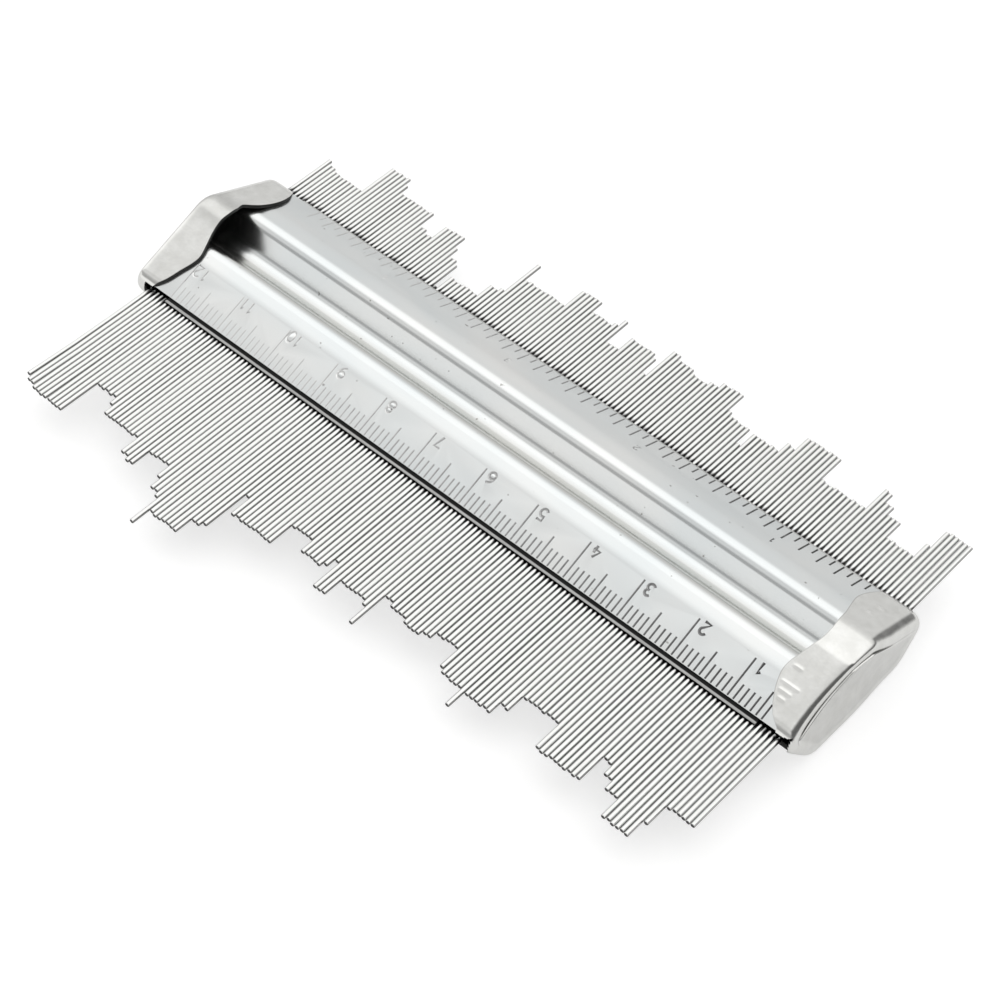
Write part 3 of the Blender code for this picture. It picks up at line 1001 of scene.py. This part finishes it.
# %% The outline round both shells
def cap_outline(cap):
    slope = math.tan(FLANGE_ANGLE)
    land = SHELL_HALF_WIDTH - (LAND_DEPTH - LOWER_EDGE) / math.tan(LOWER_FLANGE_ANGLE)
    half = [(land, -LAND_DEPTH), (SHELL_HALF_WIDTH, -LOWER_EDGE), (SHELL_HALF_WIDTH, UPPER_EDGE)]
    ridge = [(y * MM, UPPER_EDGE + (SHELL_HALF_WIDTH - abs(y) * MM) * slope) for y in cap["ridge"]]
    corners = half + ridge + [(-y, z) for y, z in reversed(half)]
    radii = [CAP_LAND_RADIUS, TIP_RADIUS, TIP_RADIUS]
    radii = radii + [cap["ridge_radius"] * MM] * 2 + radii[::-1]
    return [Vector(corner) for corner in corners], radii


# %% A smooth line through measured points
def through(points, place):
    """Reads a smooth curve through points at one place. The end points only give its slope."""
    index = 1
    while index < len(points) - 3 and place > points[index + 1][0]:
        index += 1
    before, here, there, after = points[index - 1:index + 3]
    step = there[0] - here[0]
    share = min(max((place - here[0]) / step, 0.0), 1.0)
    slope_in = (there[1] - before[1]) / (there[0] - before[0]) * step
    slope_out = (after[1] - here[1]) / (after[0] - here[0]) * step
    rise = there[1] - here[1]
    curl = (slope_in - rise) * (1 - share) + (rise - slope_out) * share
    return here[1] + share * rise + share * (1 - share) * curl


def soft_step(value, low, high):
    share = min(max((value - low) / (high - low), 0.0), 1.0)
    return share * share * (3 - 2 * share)


# %% [markdown]
# The ledge is a list of rings: the distance in from the roll, the height above the face
# and the painted shade. It is steep, and painted dark at its foot, where shade falls.

# %% The form of the tool
LEDGE = [
    (0.00, 0.00, 0.00), (0.34, 0.00, 0.00), (0.42, -0.02, 0.90), (0.74, -0.02, 0.95),
    (0.76, 0.06, 0.20), (0.79, 0.24, 0.00), (0.85, 0.32, 0.00), (0.97, 0.35, 0.00),
    (1.10, 0.35, 0.25), (1.30, 0.35, 0.10),
]
FACE_PROUD = LEDGE[-1][1] * MM
# Painted shade: the whole face is a little darker than the wings.
FACE_SHADE = 0.10
BEAD_HEIGHT = 0.08 * MM
BEAD_HALF = 0.18 * MM
BEAD_RUN_OUT = 0.4 * MM


def tool_bite(y, z):
    """How hard the tool bit: most along the top of the near wing, least at the far tip."""
    return soft_step(z / MM, -1.0, 2.0) * (1 - 0.85 * soft_step(y / MM, 2.0, 8.0))


def bead_lift(cap, x, y):
    """How far a small ridge from the press lifts the sheet of a wing here."""
    lift = 0.0
    for place, start, end in cap["beads"]:
        across = (y - place * MM) / BEAD_HALF
        ends = min(x - start * MM, end * MM - x) / BEAD_RUN_OUT
        if abs(across) < 3 and ends > 0:
            lift += BEAD_HEIGHT * math.exp(-across * across) * min(ends, 1.0)
    return lift


# %% A cap as rings of points
ROLL_STEPS = 16
WING_STEPS = 26
FACE_STEPS = 20
SKIN_STEP = 0.16 * MM
LEAST_WING = 0.25 * MM


def roll_profile():
    """The bend from wing to face. It starts gently and ends tight, as sheet over a soft tool."""
    reach, inset = 0.0, 0.0
    profile = [(0.0, 0.0)]
    fine = 12
    for step in range(ROLL_STEPS * fine):
        turn = math.pi / 2 * ((step + 0.5) / (ROLL_STEPS * fine)) ** 2
        reach += math.cos(turn) * ROLL_LENGTH / (ROLL_STEPS * fine)
        inset += math.sin(turn) * ROLL_LENGTH / (ROLL_STEPS * fine)
        if (step + 1) % fine == 0:
            profile.append((reach, inset))
    return profile


ROLL_PROFILE = roll_profile()
ROLL_REACH, CAP_ROLL = ROLL_PROFILE[-1]
print("roll: reach", round(ROLL_REACH / MM, 2), "inset", round(CAP_ROLL / MM, 2))


def cap_rings(cap):
    """The outer skin of a cap, from the middle of its face out: rows of points with painted shade.
    """
    corners, radii = cap_outline(cap)

    def ring(inset):
        moved, bends = shifted(corners, radii, inset - CAP_OFFSET, closed=True)
        return rounded(moved, bends, closed=True, steps=8)

    base = ring(0.0)
    counts = []
    for here, there in zip(base, base[1:] + base[:1]):
        counts.append(max(1, math.ceil((there - here).length / SKIN_STEP)))

    def spread(points):
        made = []
        for index, parts in enumerate(counts):
            here, there = points[index], points[(index + 1) % len(points)]
            made += [here.lerp(there, part / parts) for part in range(parts)]
        return made

    skirt = spread(base)
    inwards = [(moved - point) / MM for point, moved in zip(skirt, spread(ring(MM)))]
    swells = []
    for y, _ in skirt:
        near, far = (soft_step(side * y / MM, 0.0, 7.0) for side in (-1, 1))
        swells.append(1 + near * cap["swell"][0] + far * cap["swell"][1])

    def face_x(y, z):
        near, far = (through(cap[name], z / MM) for name in ("near_set_back", "far_set_back"))
        return CAP_FACE - (near + (far - near) * soft_step(y / MM, -3.0, 8.0)) * MM

    # Painted shade: darkens the sheet near the ridge, which dims the left cap's ridge highlight.
    def film(y):
        return cap["ridge_shade"] * (1 - soft_step(abs(y) / MM, 1.5, 5.0))

    rows = []
    inner = []
    skin = list(zip(skirt, inwards, swells))
    for point, inward, swell in skin:
        inner.append(point + inward * (CAP_ROLL * swell + LEDGE[-1][0] * MM / swell))
    centre = sum(inner, Vector((0, 0))) / len(inner)
    for step in range(1, FACE_STEPS):
        flat = [centre.lerp(point, step / FACE_STEPS) for point in inner]
        rows.append([
            ((face_x(y, z) + FACE_PROUD * tool_bite(y, z), y, z), FACE_SHADE) for y, z in flat
        ])
    # Painted shade at the foot of the ledge, from the third column of LEDGE.
    for inset, proud, painted_shade in reversed(LEDGE):
        row = []
        for point, inward, swell in skin:
            y, z = point + inward * (CAP_ROLL * swell + inset * MM / swell)
            bite = tool_bite(y, z)
            row.append(((face_x(y, z) + proud * bite * MM, y, z), painted_shade * bite))
        rows.append(row)
    for reach, inset in reversed(ROLL_PROFILE[:-1]):
        row = []
        for point, inward, swell in skin:
            y, z = point + inward * inset * swell
            row.append(((face_x(y, z) + (reach - ROLL_REACH) * swell, y, z), film(y)))
        rows.append(row)
    for step in range(1, WING_STEPS + 1):
        row = []
        for (y, z), swell in zip(skirt, swells):
            start = face_x(y, z) - ROLL_REACH * swell
            edge = min(CAP_FACE - through(cap["edge"], y / MM) * MM, start - LEAST_WING)
            x = start + (edge - start) * step / WING_STEPS
            lift = bead_lift(cap, x, y) if z > 0 else 0.0
            # Painted shade: the last row at the wing's edge is darker, as the shadow line along it.
            edge_shade_here = cap["edge_shade"] if step == WING_STEPS else 0.0
            row.append(((x, y, z + lift), max(film(y), edge_shade_here)))
        rows.append(row)
    return (face_x(*centre) + FACE_PROUD * tool_bite(*centre), *centre), rows


def in_slot(points, slot_end):
    """True where the cap is open: the slot for the wires, and the tips of the lower wing."""
    x, y, z = sum(points, Vector()) / len(points)
    open_below = -CAP_SLOT if abs(y) < CAP_OPEN_TIP else -LAND_DEPTH
    return open_below < z < CAP_SLOT and abs(x) < slot_end * MM


def cap_mesh(name, cap):
    tip, rows = cap_rings(cap)
    solid = bmesh.new()
    shade_layer = solid.verts.layers.float.new("press_grime")

    def added(place, painted_shade):
        x, y, z = place
        vert = solid.verts.new((cap["side"] * x, y, z))
        vert[shade_layer] = painted_shade
        return vert

    loops = [[added(*point) for point in row] for row in rows]
    count = len(loops[0])
    middle = added(tip, FACE_SHADE)
    for i in range(count):
        solid.faces.new((middle, loops[0][i], loops[0][(i + 1) % count]))
    for near, far in zip(loops, loops[1:]):
        for i in range(count):
            following = (i + 1) % count
            corners = (near[i], near[following], far[following], far[i])
            if not in_slot([vert.co for vert in corners], cap["slot_end"]):
                solid.faces.new(corners)
    loose = [vert for vert in solid.verts if not vert.link_faces]
    bmesh.ops.delete(solid, geom=loose, context="VERTS")
    return as_mesh(name, solid, sharp_degrees=60)


# %% Fold both caps
def build_cap(name, cap):
    item = as_object(name + "_blank", cap_mesh(name, cap), CAP_SHEET, SHEET_INSIDE)
    wall = item.modifiers.new("wall", "SOLIDIFY")
    wall.thickness = CAP_THICKNESS
    wall.offset = -1
    wall.use_even_offset = True
    # The inside and the cut rim take the near-black inside finish, which is painted shade.
    wall.material_offset = 1
    wall.material_offset_rim = 1
    edge = item.modifiers.new("edge", "BEVEL")
    edge.width = CAP_EDGE_ROUNDING
    edge.material = 0
    edge.segments = 3
    edge.limit_method = "ANGLE"
    edge.angle_limit = math.radians(50)
    mesh = baked(item, name + "_sheet")
    mesh.shade_smooth()
    fit_piece(name + "_sheet", mesh, "body", "cap_steel", name)


build_cap("cap_right", RIGHT_CAP)
build_cap("cap_left", LEFT_CAP)

# %% [markdown]
# ## Light and floor
# Polished metal has no colour of its own: it shows the room. The room here is a pale
# tent. Bands of light and grey run over it along the body, and draw the lines along the
# folds. A dark card stands low at the right, and draws the dark bends of the caps. The
# tent is a formula on the world's direction, so it is smooth everywhere.

# %% The tent
TENT_BANDS = [
    (-180, 0.80), (-100, 0.88), (-76, 1.07), (-67, 1.05), (-59, 0.43), (-43, 0.43),
    (-33, 0.82), (-18, 0.72), (-3, 1.19), (4, 1.27), (38, 1.22), (50, 0.96), (64, 0.82),
    (77, 0.80), (90, 0.60), (114, 0.52), (136, 0.52), (160, 0.72), (180, 0.80),
]
CARD_TONE = 0.12


def degrees_of(term, other):
    return term.math("ARCTAN2", other) * math.degrees(1)


def lit_tent():
    world = bpy.data.worlds.new("tent")
    bpy.context.scene.world = world
    world.use_nodes = True
    tent = Sketch(world.node_tree)
    way = tent.node("ShaderNodeTexCoord", output=0)
    x, y, z = (tent.part_of(way, axis) for axis in range(3))

    tilt = degrees_of(y, z)
    level = TENT_BANDS[0][1]
    for (here, tone), (there, following) in zip(TENT_BANDS, TENT_BANDS[1:]):
        level = tilt.rises(here, there) * (following - tone) + level

    bearing = degrees_of(y, x)
    climb = z.math("ARCSINE") * math.degrees(1)
    over = climb - (57 - bearing.rises(12, 26) * 30 - bearing.rises(50, 66) * 7)
    height = climb.rises(1, 8) * (1 - over.rises(-12, 10))
    width = bearing.rises(-34, -20) * (1 - bearing.rises(90, 98))
    card = height * width
    level = level * (1 - card) + card * CARD_TONE

    light = tent.tree.nodes["Background"]
    tent.feed(light.inputs["Strength"], level)
    light.inputs["Color"].default_value = colour(1.0, 1.0, 0.995)
    paper = tent.node("ShaderNodeBackground", {}, {"Color": grey(1), "Strength": 1.0})
    seen = tent.node("ShaderNodeLightPath", output="Is Camera Ray")
    shown = tent.node("ShaderNodeMixShader", {}, {0: seen, 1: light.outputs[0], 2: paper})
    tent.feed(tent.tree.nodes["World Output"].inputs["Surface"], shown)


lit_tent()

# %% The floor
FLOOR_HALF = 1.5
FLOOR_TONE = 0.62
FLOOR_GLOW = {"Is Glossy Ray": 0.32, "Is Camera Ray": 0.58}


def paper_floor():
    """White paper that glows a little, in the picture and in the steel."""
    paper = bpy.data.materials.new("white_paper")
    paper.use_nodes = True
    sheet = Sketch(paper.node_tree)
    shader = sheet.tree.nodes["Principled BSDF"]
    shader.inputs["Base Color"].default_value = grey(FLOOR_TONE)
    shader.inputs["Roughness"].default_value = 0.9
    shader.inputs["Specular IOR Level"].default_value = 0.0
    lift = sheet.node("ShaderNodeEmission", {}, {"Color": grey(0), "Strength": 0.0})
    for ray, strength in FLOOR_GLOW.items():
        seen = sheet.node("ShaderNodeLightPath", output=ray)
        values = {"Color": grey(1), "Strength": strength}
        glow = sheet.node("ShaderNodeEmission", {}, values)
        lift = sheet.node("ShaderNodeMixShader", {}, {0: seen, 1: lift, 2: glow})
    both = sheet.node("ShaderNodeAddShader", {}, {0: shader.outputs[0], 1: lift})
    sheet.feed(sheet.tree.nodes["Material Output"].inputs["Surface"], both)

    solid = bmesh.new()
    corners = ((-1, -1), (1, -1), (1, 1), (-1, 1))
    solid.faces.new([solid.verts.new((x * FLOOR_HALF, y * FLOOR_HALF, 0)) for x, y in corners])
    mesh = bpy.data.meshes.new("floor")
    solid.to_mesh(mesh)
    solid.free()
    floor = as_object("floor", mesh, paper)


paper_floor()
bpy.context.scene.view_settings.view_transform = "Standard"
